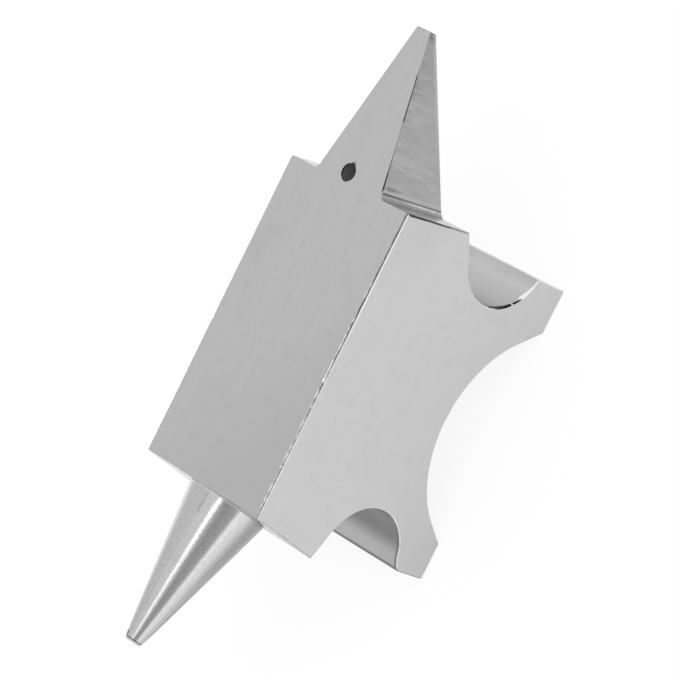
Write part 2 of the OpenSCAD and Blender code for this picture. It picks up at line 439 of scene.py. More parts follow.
def make_scratches():
    """Sparse short scratches that run along Y of the vector."""
    inputs = {"Vector": None, "Width mm": 0.12, "Length mm": 8.0, "Share": 0.1}
    tree, s, entry, leave = new_group("Scratches", inputs, ["Scratch"])
    across = s.maths("DIVIDE", 1.0, entry["Width mm"])
    along = s.maths("DIVIDE", 1.0, entry["Length mm"])
    size = s.join(across, along, across)
    stretched = s.stretched(entry["Vector"], size)
    lines = s.add("ShaderNodeTexNoise", Vector=stretched, Scale=1.0, Detail=1.0, Roughness=0.4)
    limit = s.minus(0.78, entry["Share"])
    s.feed(leave, "Scratch", s.range(lines, limit, s.plus(limit, 0.06)))
    return tree


def make_specks():
    """Pits and specks of the given size, over a share of the surface."""
    inputs = {"Vector": None, "Size mm": 0.3, "Share": 0.1}
    tree, s, entry, leave = new_group("Specks", inputs, ["Speck"])
    size = s.maths("DIVIDE", 1.0, entry["Size mm"])
    pits = s.add("ShaderNodeTexNoise", Vector=entry["Vector"], Scale=size, Detail=1.0, Roughness=0.5)
    limit = s.minus(0.75, entry["Share"])
    s.feed(leave, "Speck", s.range(pits, limit, s.plus(limit, 0.08)))
    return tree


def make_long_edge():
    """How far round a long edge of the working face a place lies: above 0 on the side, below 0 on top."""
    tree, s, entry, leave = new_group("Long edge", {"Vector": None}, ["Across"])
    _, y, z = s.parts(entry["Vector"])
    in_from_side = s.minus(HALF_WIDTH, s.maths("ABSOLUTE", y))
    down_from_top = s.minus(FACE_TOP, z)
    s.feed(leave, "Across", s.minus(down_from_top, in_from_side))
    return tree


def make_hollow_rim_reflections():
    """The painted dark reflection and the painted highlight, each an arc, on the rim of the hollow under
    the flat horn.
    """
    tree, s, entry, leave = new_group("Hollow rim reflections", {"Vector": None}, ["Dark", "Bright"])
    x, y, z = s.parts(entry["Vector"])
    off_x = s.minus(HOLLOW_MIDDLE[0], x)
    off_z = s.minus(HOLLOW_MIDDLE[1], z)
    turn = s.times(s.maths("ARCTAN2", off_z, off_x), degrees(1))
    off_rim = s.minus(s.length(off_x, off_z), HOLLOW_RADIUS)
    depth = s.minus(HALF_WIDTH, s.maths("ABSOLUTE", y))
    # Each arc thins out along the rim. The dark one starts and ends softly and has one gap.
    past_dark = s.minus(depth, s.straight(turn, 2.0, 53.0, 1.7, 0.03))
    beside_dark = s.minus(off_rim, s.range(turn, 10.0, 34.0, 0.16, 0.4))
    dark_ends = s.times(s.range(turn, 1.0, 9.0), s.range(turn, 53.0, 48.0))
    dark_gap = s.rest_of(s.band(turn, 38.5, 0.5, 0.8))
    in_dark = s.times(s.range(past_dark, 0.1, -0.1), s.range(beside_dark, 0.06, -0.06))
    s.feed(leave, "Dark", s.times(in_dark, dark_ends, dark_gap))
    past_bright = s.minus(depth, s.straight(turn, 50.0, 76.0, 0.85, 0.13))
    bright_ends = s.times(s.range(turn, 48.0, 52.0), s.range(turn, 80.0, 72.0))
    s.feed(leave, "Bright", s.times(s.range(past_bright, 0.1, -0.1), bright_ends))
    return tree


BAND = make_band()
LONG_EDGE = make_long_edge()
HOLLOW_RIM_REFLECTIONS = make_hollow_rim_reflections()
TOOL_LINES = make_tool_lines()
HANDLING = make_handling()
SCRATCHES = make_scratches()
SPECKS = make_specks()


def new_material(name, metallic=1.0):
    material = bpy.data.materials.new(name)
    material.use_nodes = True
    tree = material.node_tree
    principled = tree.nodes["Principled BSDF"]
    principled.inputs["Metallic"].default_value = metallic
    return material, Shader(tree), principled


def bump(s, principled, height, depth_mm):
    """Raises the surface by up to the given depth, where the height is one."""
    normal = s.add("ShaderNodeBump", Height=height, Distance=depth_mm * MM, Strength=1.0)
    s.feed(principled, "Normal", normal)


def ground_steel():
    """Wheel-ground and lightly polished faces, with the grain along the anvil."""
    material, s, principled = new_material("ground steel")
    place = s.place()
    x, y, z = s.parts(place)
    grain_way = s.turned(place, (0, 0, radians(90)))
    lines = s.use(TOOL_LINES, Vector=grain_way, Lines_per_mm=2.6, Length_mm=22.0)
    handling = s.use(HANDLING, Vector=place, Patch_mm=9.0)
    scratches = s.use(SCRATCHES, Vector=grain_way, Width_mm=0.3, Length_mm=4.0, Share=0.03)
    specks = s.use(SPECKS, Vector=place, Size_mm=0.8, Share=0.0)
    on_top = s.range(z, FACE_TOP - 0.6, FACE_TOP - 0.3)
    to_round_end = s.range(s.plus(s.times(x, -0.03), s.times(y, -0.035)), -0.4, 1.6)
    clean = s.blend(lines["Streak"], grey(204), grey(202))
    shaded = s.blend(s.times(to_round_end, on_top), clean, grey(195))
    # Painted shade low on the side by the round foot, and a darker high corner by the flat end.
    foot_shade = s.times(s.range(x, -14.0, -35.0), s.range(z, 26.0, 5.0), 0.8)
    high_corner = s.times(s.range(x, 18.0, 34.0), s.range(z, 38.0, 50.0), 0.6)
    side = s.blend(s.largest(foot_shade, high_corner), grey(201), grey(192))
    sided = s.blend(on_top, side, shaded)
    smeared = s.blend(s.times(handling["Smear"], 0.35), sided, grey(194))
    fingers = s.use(HANDLING, Vector=place, Patch_mm=3.2)
    touched = s.blend(s.times(fingers["Smear"], 0.3), smeared, grey(188))
    marks = s.largest(scratches["Scratch"], specks["Speck"])
    marked = s.blend(s.times(marks, 0.4), touched, grey(172))
    # A painted highlight on the side just under the long edge, where its rounding catches light, clearest
    # towards the flat end.
    across = s.use(LONG_EDGE, Vector=place)["Across"]
    painted_light_band = s.times(s.band(across, 0.62, 0.14, 0.14), s.range(x, 0.0, 16.0, 0.15, 1.0))
    s.feed(principled, "Base Color", s.blend(painted_light_band, marked, grey(236)))
    rough = s.plus(0.22, s.times(handling["Haze"], 0.05), s.times(marks, 0.1))
    s.feed(principled, "Roughness", rough)
    bump(s, principled, lines["Height"], 0.0012)
    return material


def cross_ground_steel():
    """Ends, hollows and arch, cut across the anvil, duller where the wheel reached less well, with painted
    shade there.
    """
    material, s, principled = new_material("cross ground steel")
    place = s.place()
    x, y, z = s.parts(place)
    lines = s.use(TOOL_LINES, Vector=place, Lines_per_mm=1.8, Length_mm=16.0)
    handling = s.use(HANDLING, Vector=place, Patch_mm=7.0)
    # Painted shade deep in each hollow's throat, darkest at the round end.
    under_block = s.range(z, BLOCK_BOTTOM + 1.0, BLOCK_BOTTOM - 1.0)
    throat = s.times(s.range(s.maths("ABSOLUTE", x), 33.0, 26.6), under_block)
    round_end = s.range(x, 5.0, -5.0)
    lip = s.blend(round_end, grey(204), grey(207))
    throat_shade_tone = s.blend(round_end, grey(181), grey(134))
    ends = s.blend(under_block, grey(204), lip)
    hollow = s.blend(throat, ends, throat_shade_tone)
    lined = s.blend(s.times(lines["Streak"], 0.18), hollow, grey(178))
    smeared = s.blend(s.times(handling["Smear"], 0.25), lined, grey(166))
    rim = s.use(HOLLOW_RIM_REFLECTIONS, Vector=place)
    # Painted light: the foot's slope under the round hollow is painted lighter.
    on_slope = s.times(s.range(x, -31.8, -32.6), s.range(z, 13.0, 12.0))
    slope_painted_light = s.blend(on_slope, smeared, grey(220))
    on_toe = s.range(x, FACE_ROUND_END - 0.2, FACE_ROUND_END - 1.0)
    by_side = s.range(s.maths("ABSOLUTE", y), HALF_WIDTH - 1.1, HALF_WIDTH - 0.5)
    by_rim = s.times(by_side, s.range(z, 19.0, 15.0), 0.85)
    shadow = s.times(s.largest(on_toe, by_rim), s.range(z, 20.0, 19.0), round_end)
    lipped = s.blend(s.times(shadow, 0.85), slope_painted_light, grey(118))
    # Painted reflections on the rim of the hollow under the flat horn: a dark arc and a bright arc.
    dark = s.blend(rim["Dark"], lipped, grey(30))
    s.feed(principled, "Base Color", s.blend(rim["Bright"], dark, grey(250)))
    # Just under the round end of the face the metal is made dull and shows its own light grey in place of
    # the cone's dark reflection: painted light.
    lightened_strip = s.times(s.range(z, FACE_TOP - 2.2, FACE_TOP - 1.2), round_end)
    # The painted highlight of the hollow's bright arc is made dull too.
    dull = s.times(s.plus(lightened_strip, rim["Bright"]), 0.6)
    s.feed(principled, "Metallic", s.rest_of(dull))
    s.feed(principled, "Roughness", s.plus(0.26, s.times(handling["Haze"], 0.08), s.times(throat, 0.06)))
    bump(s, principled, lines["Height"], 0.003)
    return material


def turned_steel():
    """A turned cone, polished lengthwise by hand, with a mottled skin and a bruised tip."""
    material, s, principled = new_material("turned steel")
    place = s.place()
    local = s.turned(place, (0, ROUND_END_BATTER - radians(90), 0), CONE_ROOT)
    off_x, off_y, along = s.parts(local)
    radius = s.length(off_x, off_y, 0.001)
    spread = s.maths("DIVIDE", CONE_MIDDLE_RADIUS, radius)
    round_x = s.times(off_x, spread)
    round_y = s.times(off_y, spread)
    polish_way = s.join(round_x, along, round_y)
    lines = s.use(TOOL_LINES, Vector=polish_way, Lines_per_mm=1.6, Length_mm=14.0)
    handling = s.use(HANDLING, Vector=place, Patch_mm=4.0)
    scratches = s.use(SCRATCHES, Vector=polish_way, Width_mm=0.3, Length_mm=6.0, Share=0.03)
    mottle = s.add("ShaderNodeTexNoise", Vector=polish_way, Scale=2.4, Detail=4.0, Roughness=0.65)
    specks = s.use(SPECKS, Vector=place, Size_mm=0.45, Share=0.04)
    facing_up = s.maths("DIVIDE", off_x, radius)
    # Painted shade on the cone's underside, strongest towards the root.
    underside_shade = s.times(s.range(facing_up, 0.35, -0.15), s.range(along, 34.0, 6.0, 0.35, 1.0))
    clean = s.blend(lines["Streak"], grey(206), grey(201))
    # A painted highlight: a bright streak along the cone.
    painted_streak_highlight = s.blend(s.band(facing_up, 0.33, 0.2, 0.2), clean, grey(214))
    underside_shaded = s.blend(underside_shade, painted_streak_highlight, grey(154))
    mottled = s.blend(s.times(s.range(mottle, 0.55, 0.35), 0.22), underside_shaded, grey(150))
    smeared = s.blend(s.times(handling["Smear"], 0.3), mottled, grey(186))
    near = s.maths("DIVIDE", off_y, radius)
    score_line = s.times(s.band(near, -0.2, 0.02, 0.04), s.band(along, 3.0, 1.6, 1.6))
    old_score = s.times(score_line, s.range(mottle, 0.4, 0.6), 0.55)
    marks = s.largest(s.times(scratches["Scratch"], 0.25), s.times(specks["Speck"], 0.4))
    marked = s.blend(s.largest(marks, old_score), smeared, grey(120))
    # The tip: a dark bruised rim round the bright end face, and a knock just behind it.
    bruise = s.add("ShaderNodeTexNoise", Vector=place, Scale=1.3, Detail=2.0, Roughness=0.5)
    rim_at = CONE_LENGTH - TIP_ROUNDING
    end_face = s.range(along, rim_at, rim_at + 0.1)
    tip_rim = s.times(s.band(along, rim_at - 0.06, 0.06, 0.09), s.range(bruise, 0.2, 0.45))
    knocked_side = s.times(s.range(near, 0.2, 0.42), s.range(facing_up, 0.45, 0.8))
    knock = s.times(s.band(along, CONE_LENGTH - 1.2, 0.5, 0.4), knocked_side)
    # Painted shade along the cone's lower side, growing towards the tip.
    lower_side_shade = s.times(s.range(facing_up, -0.33, -0.52), s.range(along, 12.0, 28.0, 0.15, 0.75))
    capped = s.blend(end_face, s.blend(lower_side_shade, marked, grey(128)), grey(188))
    tipped = s.blend(s.largest(tip_rim, knock), capped, grey(70))
    # The root: a matt ring against the block, painted lighter on top and darker below as light and shade,
    # and a faint line outside it, painted darker underneath as shade.
    root_shade_line = s.times(s.band(along, 0.62, 0.1, 0.14), s.range(facing_up, 0.3, -0.3))
    at_root = s.range(along, 0.42, 0.22)
    root_light_and_shade = s.blend(s.range(facing_up, 0.3, -0.4), grey(226), grey(150))
    rooted = s.blend(at_root, tipped, root_light_and_shade)
    s.feed(principled, "Base Color", s.blend(s.times(root_shade_line, 0.5), rooted, grey(120)))
    s.feed(principled, "Metallic", s.rest_of(s.times(s.largest(end_face, at_root), 0.8)))
    s.feed(principled, "Roughness", s.plus(0.05, s.times(handling["Haze"], 0.02), s.times(tip_rim, 0.2)))
    bump(s, principled, s.plus(s.times(lines["Height"], 0.2), mottle), 0.022)
    return material


def milled_steel():
    """The flanks of the flat horn, with the cutter's marks across them and a flare at the root."""
    material, s, principled = new_material("milled steel")
    place = s.place()
    x, _, z = s.parts(place)
    drop = s.minus(FACE_TOP, z)
    bow = s.times(drop, drop, CUTTER_BOW)
    cutter_way = s.join(s.plus(x, s.times(z, CUTTER_LEAN), bow), z, 0.0)
    marks = s.use(TOOL_LINES, Vector=cutter_way, Lines_per_mm=2.6, Length_mm=5.0)
    coarse = s.use(TOOL_LINES, Vector=cutter_way, Lines_per_mm=1.4, Length_mm=9.0)
    scratches = s.use(SCRATCHES, Vector=cutter_way, Width_mm=0.22, Length_mm=1.6, Share=0.14)
    handling = s.use(HANDLING, Vector=place, Patch_mm=6.0)
    broad = s.blend(coarse["Streak"], grey(172), grey(167))
    clean = s.blend(s.range(marks["Height"], 0.58, 0.42, 0.0, 0.5), broad, grey(150))
    tipward = s.blend(s.range(x, 54.0, 66.0, 0.0, 0.6), clean, grey(150))
    smeared = s.blend(s.times(handling["Smear"], 0.3), tipward, grey(156))
    by_top = s.times(s.range(drop, 5.0, 0.5), s.range(x, 48.0, 60.0, 0.1, 0.6))
    scored = s.blend(s.times(scratches["Scratch"], by_top), smeared, grey(110))
    cut_deep = s.times(s.range(marks["Height"], 0.5, 0.4), by_top, 0.7)
    gouged = s.blend(cut_deep, scored, grey(120))
    burnt = s.add("ShaderNodeTexNoise", Vector=place, Scale=2.2, Detail=1.0)
    tip_spots = s.times(s.range(x, TIP_X - 2.2, TIP_X - 0.8), s.range(burnt, 0.4, 0.6), 0.8)
    marked = s.blend(tip_spots, gouged, grey(96))
    # Marks that run along the root: the flare, painted darker at its foot as shade, a painted glint, a
    # painted dark reflection line, a painted lighter band and a painted shadow.
    past_end = s.minus(s.minus(x, FACE_FLAT_END), s.times(drop, tan(FLAT_END_BATTER)))
    upper = s.range(drop, 12.0, 0.5)
    painted_light_band = s.blend(s.times(s.band(past_end, 1.75, 0.4, 0.25), 0.5), marked, grey(182))
    blotch = s.add("ShaderNodeTexNoise", Vector=place, Scale=0.5, Detail=2.0)
    shadow = s.times(s.band(past_end, 2.5, 0.1, 0.55), s.range(drop, 8.0, 0.0), s.range(blotch, 0.3, 0.6))
    shaded = s.blend(shadow, painted_light_band, grey(112))
    flare_shade = s.blend(s.range(past_end, 0.1, 0.75), grey(128), grey(162))
    flare_cut = s.blend(s.times(s.range(marks["Height"], 0.55, 0.4), 0.5), flare_shade, grey(120))
    in_flare = s.range(past_end, FLARE_REACH, FLARE_REACH - 0.15)
    flare = s.blend(in_flare, shaded, flare_cut)
    glint = s.times(s.band(past_end, 0.9, 0.05, 0.07), s.range(drop, 0.4, 3.0, 0.4, 0.95))
    lit_line = s.blend(glint, flare, grey(236))
    dark_reflection_line = s.times(s.band(past_end, 1.24, 0.2, 0.16), s.plus(0.62, s.times(upper, 0.25)))
    lined = s.blend(dark_reflection_line, lit_line, grey(84))
    # The flank's lowest edge, rolled over, with a painted highlight that grows towards the tip.
    past_root = s.minus(x, FLANK_FOOT[0])
    foot_line = s.plus(s.times(past_root, FLANK_FOOT_RISE), FLANK_FOOT[1])
    above_foot = s.minus(z, foot_line)
    rolled_edge_highlight = s.times(s.range(above_foot, 1.5, 0.5), s.range(x, 46.0, 60.0))
    s.feed(principled, "Base Color", s.blend(s.times(rolled_edge_highlight, 0.6), lined, grey(190)))
    s.feed(principled, "Metallic", s.rest_of(s.times(in_flare, 0.7)))
    s.feed(principled, "Roughness", s.plus(0.28, s.times(handling["Haze"], 0.08)))
    bump(s, principled, s.plus(marks["Height"], s.times(coarse["Height"], 0.4)), 0.005)
    return material


def long_edge_marks(s, x, across, nicks, wear):
    """The face's long edges: a painted dark reflection, darkest at the flat end, its worn top side and a
    painted glint on a ding.
    """
    uneven = s.times(s.minus(wear, 0.5), 2.2)
    strength = s.plus(0.3, s.range(x, -9.0, 4.0, 0.0, 0.42), s.range(x, 26.0, 34.0, 0.0, 0.22), uneven)
    off_ding = s.rest_of(s.band(x, DING_X, 0.4, 0.3))
    wander = s.plus(s.times(s.minus(nicks, 0.5), 0.5), s.times(s.minus(wear, 0.5), 0.8))
    half_line = s.range(x, 0.0, 30.0, 0.09, 0.17)
    line = s.times(s.band(s.plus(across, wander), 0.12, half_line, 0.12), strength, off_ding)
    pits = s.largest(*[s.band(x, DING_X - step, 0.08, 0.1) for step in (0.9, 1.8)])
    line = s.largest(line, s.times(pits, s.band(across, -0.26, 0.08, 0.1), 0.85))
    worn = s.largest(s.range(x, 12.0, 24.0), s.range(wear, 0.42, 0.54))
    top_side = s.times(s.range(across, 0.0, -0.14), worn)
    over_edge = s.times(s.range(across, 0.14, 0.04), s.range(across, -0.6, -0.5))
    ding_glint = s.times(s.band(x, DING_X, 0.3, 0.15), over_edge)
    return line, top_side, ding_glint


def upright_line(s, x, z, out):
    """The painted dark reflection down the block's upright edges, with a pit in the one at the flat end.
    """
    by_corner = s.range(out, HALF_WIDTH - 0.8, HALF_WIDTH - 0.6)
    on_block = s.times(
        s.range(z, BLOCK_BOTTOM + 0.8, BLOCK_BOTTOM + 1.4),
        s.range(z, FACE_TOP - 0.3, FACE_TOP - 0.6),
    )
    line_or_pit = s.largest(s.range(z, 37.5, 50.0, 0.5, 1.0), s.band(z, PIT_Z, 0.2, 0.15))
    flat_end = s.times(s.range(x, FACE_FLAT_END - 0.7, FACE_FLAT_END - 0.5), line_or_pit)
    round_end = s.times(s.range(x, FACE_ROUND_END - 0.1, FACE_ROUND_END - 0.3), 0.5)
    return s.times(by_corner, on_block, s.largest(flat_end, round_end))


def horn_edge_line(s, x, z):
    """The painted dark reflection along the flat horn's upper edges, dark at the root and again past the
    middle.
    """
    from_root = s.range(x, 50.0, 38.5, 0.55, 1.0)
    past_middle = s.band(x, 57.5, 4.5, 2.0)
    on_horn = s.times(s.range(x, 37.5, 37.9), s.range(x, 65.5, 63.0))
    on_top = s.range(z, FACE_TOP - 0.8, FACE_TOP - 0.6)
    return s.times(s.largest(from_root, past_middle), on_horn, on_top)


def round_end_lines(s, x, y, z, out):
    """Painted shade on the lip of the foot under the round horn, and a painted dark reflection on the
    face's end edge above it.
    """
    on_lip = s.times(s.range(x, FACE_ROUND_END - 0.3, FACE_ROUND_END - 0.6), s.range(z, 13.0, 12.0))
    lip = s.times(on_lip, s.range(out, 18.3, 17.8), 0.75)
    at_end = s.times(s.range(x, -33.4, -33.7), s.range(z, FACE_TOP - 1.0, FACE_TOP - 0.8))
    face_end = s.times(at_end, s.range(out, 17.9, 17.6), s.range(y, 8.0, -12.0, 0.15, 0.35))
    return s.largest(lip, face_end)


def turned_away_edges(s, x, z, out):
    """The side's lower edges, which turn away from the light."""
    at_side = s.range(out, HALF_WIDTH - 0.6, HALF_WIDTH - 0.4)
    toe = s.times(s.range(x, FACE_ROUND_END - 0.5, FACE_ROUND_END - 0.8), s.range(z, 10.0, 9.0))
    foot_rim = s.largest(s.range(z, 1.2, 0.8), toe)
    round_hollow = s.times(s.range(x, -30.0, -32.0), s.range(z, 24.0, 27.0), s.range(z, 37.5, 36.5), 0.6)
    return s.times(at_side, s.largest(foot_rim, round_hollow))


def off_hole(s, x, y):
    """How far a place lies from the middle of the pritchel hole."""
    return s.length(s.minus(x, HOLE_CENTRE[0]), s.minus(y, HOLE_CENTRE[1]))


def broken_edge():
    """Edges rubbed over with a stone: bright, with a painted dark reflection along them."""
    material, s, principled = new_material("broken edge")
    place = s.place()
    x, y, z = s.parts(place)
    out = s.maths("ABSOLUTE", y)
    nicks = s.add("ShaderNodeTexNoise", Vector=place, Scale=1.4, Detail=3.0, Roughness=0.6)
    wear = s.add("ShaderNodeTexNoise", Vector=place, Scale=0.55, Detail=2.0, Roughness=0.6)
    across = s.use(LONG_EDGE, Vector=place)["Across"]
    long_line, top_side, ding_glint = long_edge_marks(s, x, across, nicks, wear)
    by_side = s.range(out, HALF_WIDTH - 1.0, HALF_WIDTH - 0.8)
    on_long = s.times(by_side, s.range(z, FACE_TOP - 1.0, FACE_TOP - 0.8))
    dark = s.largest(
        s.times(long_line, on_long),
        upright_line(s, x, z, out),
        horn_edge_line(s, x, z),
        round_end_lines(s, x, y, z, out),
    )
    # The horn's tip and the corner at its root have no line.
    root_corner = s.times(s.range(x, 37.9, 37.5), s.range(x, FACE_FLAT_END + 0.1, FACE_FLAT_END + 0.3))
    plain_ends = s.largest(s.range(x, 63.0, 65.5), root_corner)
    stoned = s.blend(s.range(nicks, 0.45, 0.7), grey(228), grey(194))
    worn = s.blend(s.largest(s.times(top_side, on_long), plain_ends), stoned, grey(186))
    # Painted shade on the edges along the block's underside.
    lower = s.blend(s.band(z, BLOCK_BOTTOM, 1.0, 0.3), worn, grey(160))
    shaded = s.blend(turned_away_edges(s, x, z, out), lower, grey(132))
    bright = s.blend(s.times(ding_glint, on_long), shaded, grey(255))
    lined = s.blend(s.largest(s.maths("MINIMUM", dark, 1.0), 0.0), bright, grey(58))
    # Painted reflections on the rim of the hollow under the flat horn: a dark arc and a bright arc.
    rim = s.use(HOLLOW_RIM_REFLECTIONS, Vector=place)
    arced = s.blend(rim["Dark"], s.blend(rim["Bright"], lined, grey(252)), grey(30))
    from_middle = off_hole(s, x, y)
    near_hole = s.range(from_middle, HOLE_RADIUS + 1.0, HOLE_RADIUS + 0.8)
    at_hole = s.times(near_hole, s.range(z, FACE_TOP - 2.0, FACE_TOP - 1.0))
    # Black round the hole's rim, and light grey in the nick as painted light.
    past_rim = s.range(from_middle, HOLE_RADIUS + 0.02, HOLE_RADIUS + 0.16)
    rim_tone = s.blend(past_rim, grey(36), grey(170))
    s.feed(principled, "Base Color", s.blend(at_hole, arced, rim_tone))
    s.feed(principled, "Roughness", s.plus(0.14, s.times(nicks, 0.08), s.times(dark, 0.15)))
    bump(s, principled, nicks, 0.01)
    return material


def drawn_steel():
    """Dull drawn rod for the pins and dowels."""
    material, s, principled = new_material("drawn steel")
    lines = s.use(TOOL_LINES, Vector=s.place(), Lines_per_mm=2.0, Length_mm=6.0)
    s.feed(principled, "Base Color", s.blend(lines["Streak"], grey(104), grey(88)))
    s.feed(principled, "Roughness", s.plus(0.35, s.times(lines["Height"], 0.1)))
    bump(s, principled, lines["Height"], 0.003)
    return material


def bored_wall():
    """The unpolished wall of a drilled hole, blackest at the pritchel hole's rim and light grey in its
    nick as painted light.
    """
    material, s, principled = new_material("bored wall", metallic=0.35)
    place = s.place()
    x, y, z = s.parts(place)
    rings = s.use(TOOL_LINES, Vector=s.join(z, s.plus(x, y), 0.0), Lines_per_mm=2.2, Length_mm=5.0)
    wall = s.blend(rings["Streak"], grey(160), grey(128))
    rim = s.range(z, FACE_TOP - 0.9, FACE_TOP - 0.35)
    rimmed = s.blend(s.times(rim, 0.9), wall, grey(44))
    past_rim = s.range(off_hole(s, x, y), HOLE_RADIUS + 0.02, HOLE_RADIUS + 0.1)
    in_nick = s.times(past_rim, s.range(z, FACE_TOP - 1.0, FACE_TOP - 0.7))
    s.feed(principled, "Base Color", s.blend(in_nick, rimmed, grey(196)))
    s.feed(principled, "Roughness", s.plus(0.42, s.times(rings["Height"], 0.15)))
    bump(s, principled, rings["Height"], 0.01)
    return material


# Pieces


def make_body(ground, cross_ground, bore, edge):
    """The body, with its outer edges broken and those in its sockets and joints left sharp."""
    bm = piece_from_cad("anvil_body")
    split_face_end_edge(bm, box_mm("flat_horn")[1].y + 0.1)
    hidden = {node: hidden_box(node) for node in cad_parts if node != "anvil_body"}
    reachable = []
    for sharp in sharp_edges(bm):
        if not any(within(v.co, box, HIDDEN_WITHIN) for box in hidden.values() for v in sharp.verts):
            reachable.append(sharp)
    for face in bm.faces:
        drilled = on_bore_wall(face) or any(face_within(face, hidden[pin]) for pin in CROSS_PINS)
        face.material_index = BORE_SLOT if drilled else body_slot(face.normal)
    broken = cut_to_strokes(bm, reachable)
    materials = [ground, cross_ground, bore, edge]
    finish_piece("finished_body", bm, "anvil_body", materials, broken, body_break)


def face_within(face, box):
    return all(within(v.co, box, HIDDEN_WITHIN) for v in face.verts)


def body_slot(normal):
    """Which material a face of the body takes: ends, hollows and arch are cut across it."""
    if 0.6 < normal.z < 0.8 and abs(normal.y) > 0.6:
        return EDGE_SLOT
    cut_across = abs(normal.y) < 0.3 and abs(normal.z) < 0.999
    return CUT_SLOT if cut_across else GROUND_SLOT


def hidden_box(node):
    """The box round a piece that is set into the body, with both ends of its hole if it is a cross pin."""
    low, high = box_mm(node)
    if node in CROSS_PINS:
        low.z -= PIN_HOLE_SPARE
        high.z += PIN_HOLE_SPARE
    return low, high


def split_face_end_edge(bm, half_width):
    """Splits the face's end edge beside the flat horn, so that the joint itself stays tight."""
    for side in (-1, 1):
        for edge in list(bm.edges):
            ends = sorted(edge.verts, key=lambda v: v.co.y)
            if not all(abs(v.co.x - FACE_FLAT_END) < WELD and abs(v.co.z - FACE_TOP) < WELD for v in ends):
                continue
            low, high = (v.co.y for v in ends)
            if low < side * half_width < high:
                bmesh.utils.edge_split(edge, ends[0], (side * half_width - low) / (high - low))


def body_break(spot):
    """Width of the broken edge at a place on the body, in millimetres."""
    along_face = spot.z > FACE_TOP - 1 and abs(spot.y) > HALF_WIDTH - 1
    if along_face:
        return 0.24 if abs(spot.x - DING_X) < 0.6 else 0.2
    if spot.z > FACE_TOP - 1:
        return 0.2 if spot.x < 0 else 0.12
    if abs(spot.y) < HALF_WIDTH - 0.1:
        return corner_break(spot)
    if spot.x > FACE_FLAT_END - 0.5 and spot.z > BLOCK_BOTTOM:
        return 0.34 + 0.2 * share_of(spot.z, 38, 48)
    in_flat_hollow = spot.x > 24 and 9 < spot.z < 22
    return 0.4 if in_flat_hollow else 0.26


def corner_break(spot):
    """Width of the break on the corners that run across the body, widest where it stands and is lifted."""
    if spot.z < 1:
        return 1.0 if abs(spot.x) > 30 else 0.8
    if spot.z > 30:
        return 0.7
    return 0.16 if spot.x > 0 else 0.42


def on_bore_wall(face):
    """Whether a face is part of the pritchel hole's wall."""
    return all(on_bore(v.co) for v in face.verts) and abs(face.normal.z) < 0.1


def on_bore(point):
    """Whether a place lies on the cylinder of the pritchel hole."""
    return abs(from_hole(point) - HOLE_RADIUS) < WALL_WITHIN


def make_flat_horn(ground, milled, bore, edge):
    """The flat horn, with its chipped tip and the rim of the pritchel hole."""
    bm = piece_from_cad("flat_horn")
    half_root = box_mm("flat_horn")[1].y
    reachable = []
    for sharp in sharp_edges(bm):
        spot = middle(sharp)
        over_joint = spot.x < FACE_FLAT_END + JOINT_REACH and abs(spot.y) < half_root - JOINT_MARGIN
        on_root = all(past_end_face(v.co.x, v.co.z) < 0.05 for v in sharp.verts)
        off_rim = from_hole(spot) > HOLE_RADIUS + 0.2
        if not on_root and not (over_joint and off_rim):
            reachable.append(sharp)
    for face in bm.faces:
        plain = GROUND_SLOT if face.normal.z > 0.9 else CUT_SLOT
        face.material_index = BORE_SLOT if on_bore_wall(face) else plain
    rest = [e for e in reachable if min(v.co.x for v in e.verts) < TIP_X - 0.05]
    tip = [e for e in reachable if e not in set(rest) and middle(e).z > TIP_BOTTOM]
    tip = cut_to_strokes(bm, tip, TIP_STROKE)
    chip_tip(tip)
    rest = [e for e in cut_to_strokes(bm, rest) if middle(e).x > FACE_FLAT_END + 0.4]
    shape_hole_rim(bm)
    materials = [ground, milled, bore, edge]
    broken = rest + tip
    finish_piece("finished_flat_horn", bm, "flat_horn", materials, broken, flat_horn_break)


def flat_horn_break(spot):
    """Width of the broken edge at a place on the flat horn, in millimetres."""
    if from_hole(spot) < HOLE_RADIUS + 1:
        return 0.2
    if spot.x > TIP_X - 1:
        return 0.12
    if spot.z > FACE_TOP - 0.2:
        past_root = 0.13 * share_of(spot.x, 39, 45)
        past_middle = 0.08 * share_of(spot.x, 50, 53)
        at_tip = 0.2 * share_of(spot.x, 62, 65)
        return 0.3 - past_root + past_middle - at_tip
    return 0.2


def chip_tip(edges):
    """Draws the tip's corners back unevenly, as they are where the horn was cut off by hand."""
    for corner in dict.fromkeys(v for e in edges for v in e.verts):
        bite = noise.noise(corner.co * 1.7 + Vector((3, 1, 5)))
        corner.co.x -= 0.02 + 0.35 * max(bite, 0)


def shape_hole_rim(bm):
    """The burr that draws the hole's rim in, and the nick where a piece of it broke out."""
    wall = [f for f in bm.faces if on_bore_wall(f)]
    edges = dict.fromkeys(e for f in wall for e in f.edges)
    corners = dict.fromkeys(v for f in wall for v in f.verts)
    level = (0, 0, FACE_TOP - NICK_DEPTH)
    bmesh.ops.bisect_plane(bm, geom=[*wall, *edges, *corners], plane_co=level, plane_no=(0, 0, 1))
    rim = [v for v in bm.verts if abs(v.co.z - FACE_TOP) < WELD and on_bore(v.co)]
    for corner in rim:
        outward = (corner.co.xy - Vector(HOLE_CENTRE)).normalized()
        off_middle = abs(degrees(atan2(outward.y, outward.x)) - NICK_TURN)
        in_nick = max(1 - off_middle / NICK_HALF_TURN, 0)
        burr = HOLE_BURR * share_of(corner.co.x, FACE_FLAT_END + 0.05, FACE_FLAT_END + 0.5)
        reach = (NICK_REACH + burr) * in_nick - burr
        corner.co.x += reach * outward.x
        corner.co.y += reach * outward.y


